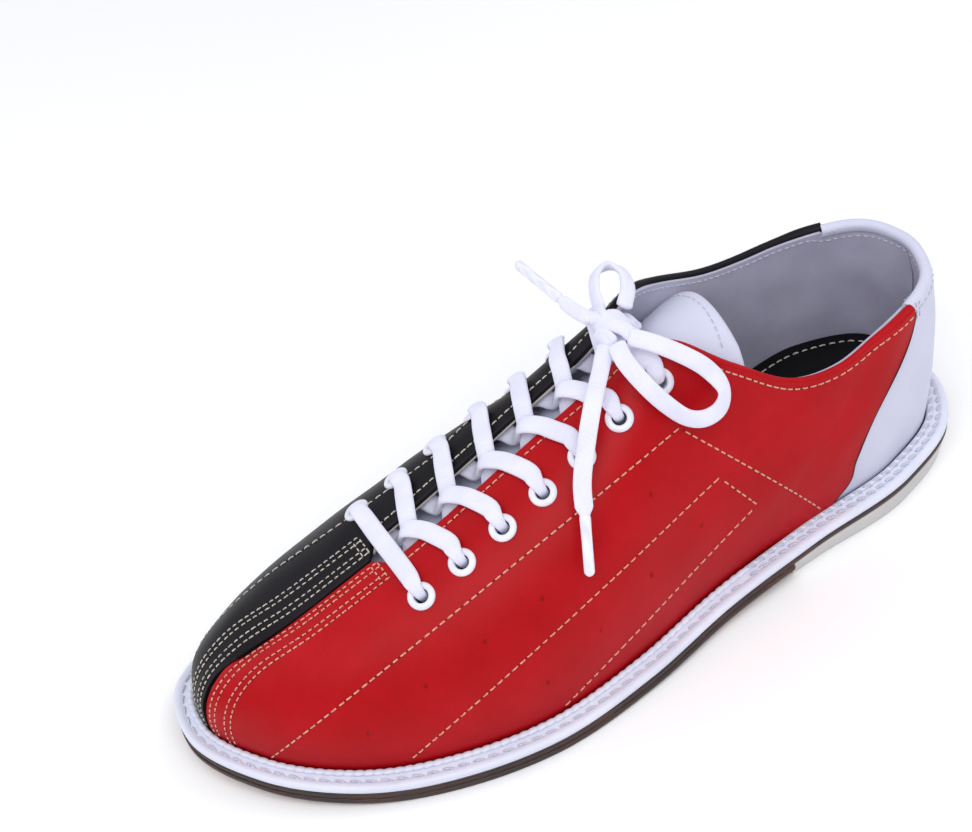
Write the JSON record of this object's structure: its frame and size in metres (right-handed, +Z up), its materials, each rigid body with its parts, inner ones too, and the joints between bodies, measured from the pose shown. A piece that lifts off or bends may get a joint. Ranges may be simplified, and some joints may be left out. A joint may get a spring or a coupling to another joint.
{
  "type": "bowling shoe",
  "caption": "Left bowling shoe: two-tone laced leather upper, stitched welt, leather slide sole and rubber heel with a D-shaped tap; the tongue flexes.",
  "frame": {"origin": "on the floor, under the middle of the shoe's length and width", "axes": "+X towards the toe, +Y towards the wearer's left (the lateral side of this left shoe), +Z up; the tread of the heel and of the ball lie at z = 0"},
  "size_m": [0.2972, 0.117, 0.1258],
  "materials": {
    "red_leather": "smooth, semi-gloss",
    "black_leather": "smooth, semi-gloss",
    "white_leather": "smooth, satin",
    "lining_cloth": "brushed",
    "interlining_cloth": "plain woven",
    "stiffener_board": "fibre board, matte",
    "eyelet_paint": "white enamel",
    "welt_strip": "satin, stitched",
    "dark_sole_leather": "inked and waxed edge",
    "slide_leather": "brushed suede",
    "heel_rubber": "matte",
    "tap_rubber": "matte, ribbed",
    "cork": "pressed granules",
    "seat_foam": "foam",
    "shank_steel": "rolled",
    "nail_steel": "plain",
    "lace_cotton": "braided",
    "aglet_film": "clear film over white"
  },
  "bodies": {
    "shoe": {"lateral_panel": "red_leather", "medial_panel": "black_leather", "lining_lateral": "lining_cloth", "lining_medial": "lining_cloth", "interlining_lateral": "interlining_cloth", "interlining_medial": "interlining_cloth", "eyestay_reinforcement_lateral": "interlining_cloth", "eyestay_reinforcement_medial": "interlining_cloth", "heel_counter": "stiffener_board", "toe_puff": "stiffener_board", "heel_foxing": "white_leather", "eyelet_lateral_1": "eyelet_paint", "eyelet_lateral_2": "eyelet_paint", "eyelet_lateral_3": "eyelet_paint", "eyelet_lateral_4": "eyelet_paint", "eyelet_lateral_5": "eyelet_paint", "eyelet_lateral_6": "eyelet_paint", "eyelet_lateral_7": "eyelet_paint", "eyelet_medial_1": "eyelet_paint", "eyelet_medial_2": "eyelet_paint", "eyelet_medial_3": "eyelet_paint", "eyelet_medial_4": "eyelet_paint", "eyelet_medial_5": "eyelet_paint", "eyelet_medial_6": "eyelet_paint", "eyelet_medial_7": "eyelet_paint", "welt": "welt_strip", "welt_bead": "welt_strip", "midsole": "dark_sole_leather", "slide_sole": "slide_leather", "heel_block": "heel_rubber", "heel_tap": "tap_rubber", "insole_board": "stiffener_board", "sock_liner": "black_leather", "cork_filler": "cork", "heel_seat_pad": "seat_foam", "shank": "shank_steel", "heel_nail_1": "nail_steel", "heel_nail_2": "nail_steel", "heel_nail_3": "nail_steel", "heel_nail_4": "nail_steel", "heel_nail_5": "nail_steel", "lace_run": "lace_cotton", "lace_knot": "lace_cotton", "lace_loop_lateral": "lace_cotton", "lace_loop_medial": "lace_cotton", "lace_tail_lateral": "lace_cotton", "lace_tail_medial": "lace_cotton", "aglet_lateral": "aglet_film", "aglet_medial": "aglet_film"},
    "tongue": {"tongue": "white_leather", "tongue_lining": "lining_cloth"}
  },
  "joints": [
    {"name": "tongue_flex", "type": "hinge", "parent": "shoe", "child": "tongue", "pos_m": [0.0805, -0.003, 0.051], "axis": [0, 1, 0], "range_deg": [-12, 0], "stiffness_Nm_per_rad": 0.08, "springref_deg": 6.88}
  ]
}
